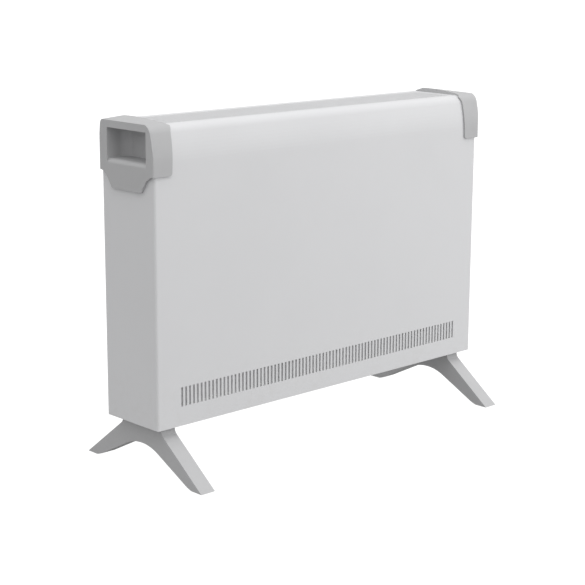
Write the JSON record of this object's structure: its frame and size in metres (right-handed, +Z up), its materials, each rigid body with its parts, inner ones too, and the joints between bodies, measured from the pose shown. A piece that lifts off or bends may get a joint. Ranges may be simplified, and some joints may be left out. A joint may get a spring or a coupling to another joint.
{
  "type": "fan convector heater",
  "caption": "Slim free-standing fan convector heater: painted steel case with slotted grilles, plastic end caps with hand recesses, splayed feet, fan, elements and end controls.",
  "frame": {"origin": "on the floor under the middle of the case", "axes": "+X to the right seen from the front, along the case; front faces -Y; +Z up"},
  "size_m": [0.5992, 0.234, 0.4548],
  "materials": {
    "white_steel": "satin powder coat",
    "dark_mesh": "matt grey wire mesh",
    "grey_plastic": "fine moulded texture",
    "dark_plastic": "fine moulded texture",
    "black_plastic": "moulded",
    "cream_plastic": "moulded",
    "rubber": "matt",
    "zinc": "bright zinc plate",
    "galvanised": "galvanised sheet",
    "mica": "layered mica board",
    "resistance_wire": "oxidised resistance wire",
    "copper": "enamelled copper winding",
    "brass": "turned",
    "brown_wire": "insulated wire",
    "red_wire": "insulated wire",
    "orange_wire": "insulated wire",
    "blue_wire": "insulated wire",
    "green_wire": "insulated wire"
  },
  "bodies": {
    "housing": {"front_panel": "white_steel", "left_end_panel": "white_steel", "right_end_panel": "white_steel", "top_grille": "white_steel", "back_panel": "white_steel", "base_plate": "white_steel", "intake_mesh": "dark_mesh", "left_end_cap": "grey_plastic", "right_end_cap": "grey_plastic", "left_foot": "grey_plastic", "right_foot": "grey_plastic", "foot_pads": "rubber", "foot_screws": "zinc", "foot_nuts": "zinc", "base_screws": "zinc", "back_panel_screws": "zinc", "cap_screws": "zinc", "left_bulkhead": "galvanised", "right_bulkhead": "galvanised", "front_heat_shield": "galvanised", "rear_heat_shield": "galvanised", "element_brackets": "galvanised", "low_heat_mica": "mica", "high_heat_mica": "mica", "low_heat_wire": "resistance_wire", "high_heat_wire": "resistance_wire", "thermal_cutout": "black_plastic", "fan_housing": "black_plastic", "fan_screws": "zinc", "motor_core": "galvanised", "motor_coil": "copper", "motor_spacers": "zinc", "motor_bearing_strip": "galvanised", "motor_bushes": "brass", "motor_screws": "zinc", "control_well": "grey_plastic", "control_plate": "grey_plastic", "thermostat_body": "black_plastic", "thermostat_nut": "zinc", "low_heat_switch": "black_plastic", "high_heat_switch": "black_plastic", "fan_switch": "black_plastic", "terminal_block": "cream_plastic", "earth_screw": "brass", "cable_gland": "black_plastic", "gland_nut": "black_plastic", "bulkhead_grommet": "rubber", "wire_live": "brown_wire", "wire_low_heat": "red_wire", "wire_high_heat": "orange_wire", "wire_fan": "blue_wire", "wire_earth": "green_wire"},
    "fan_rotor": {"motor_rotor": "galvanised", "fan_shaft": "zinc", "fan_impeller": "black_plastic"},
    "thermostat_dial": {"thermostat_shaft": "zinc", "thermostat_knob": "dark_plastic"},
    "low_heat_button": {"low_heat_rocker": "dark_plastic"},
    "high_heat_button": {"high_heat_rocker": "dark_plastic"},
    "fan_button": {"fan_rocker": "dark_plastic"}
  },
  "joints": [
    {"name": "fan_spin", "type": "hinge", "parent": "housing", "child": "fan_rotor", "pos_m": [-0.025, 0, 0.1], "axis": [0, 0, 1], "continuous": true},
    {"name": "thermostat_turn", "type": "hinge", "parent": "housing", "child": "thermostat_dial", "pos_m": [0.28, 0, 0.3125], "axis": [-1, 0, 0], "range_deg": [0, 270]},
    {"name": "low_heat_rock", "type": "hinge", "parent": "housing", "child": "low_heat_button", "pos_m": [0.2804, 0, 0.2625], "axis": [0, 1, 0], "range_deg": [0, 22]},
    {"name": "high_heat_rock", "type": "hinge", "parent": "housing", "child": "high_heat_button", "pos_m": [0.2804, 0, 0.2295], "axis": [0, 1, 0], "range_deg": [0, 22]},
    {"name": "fan_rock", "type": "hinge", "parent": "housing", "child": "fan_button", "pos_m": [0.2804, 0, 0.1965], "axis": [0, 1, 0], "range_deg": [0, 22]}
  ]
}
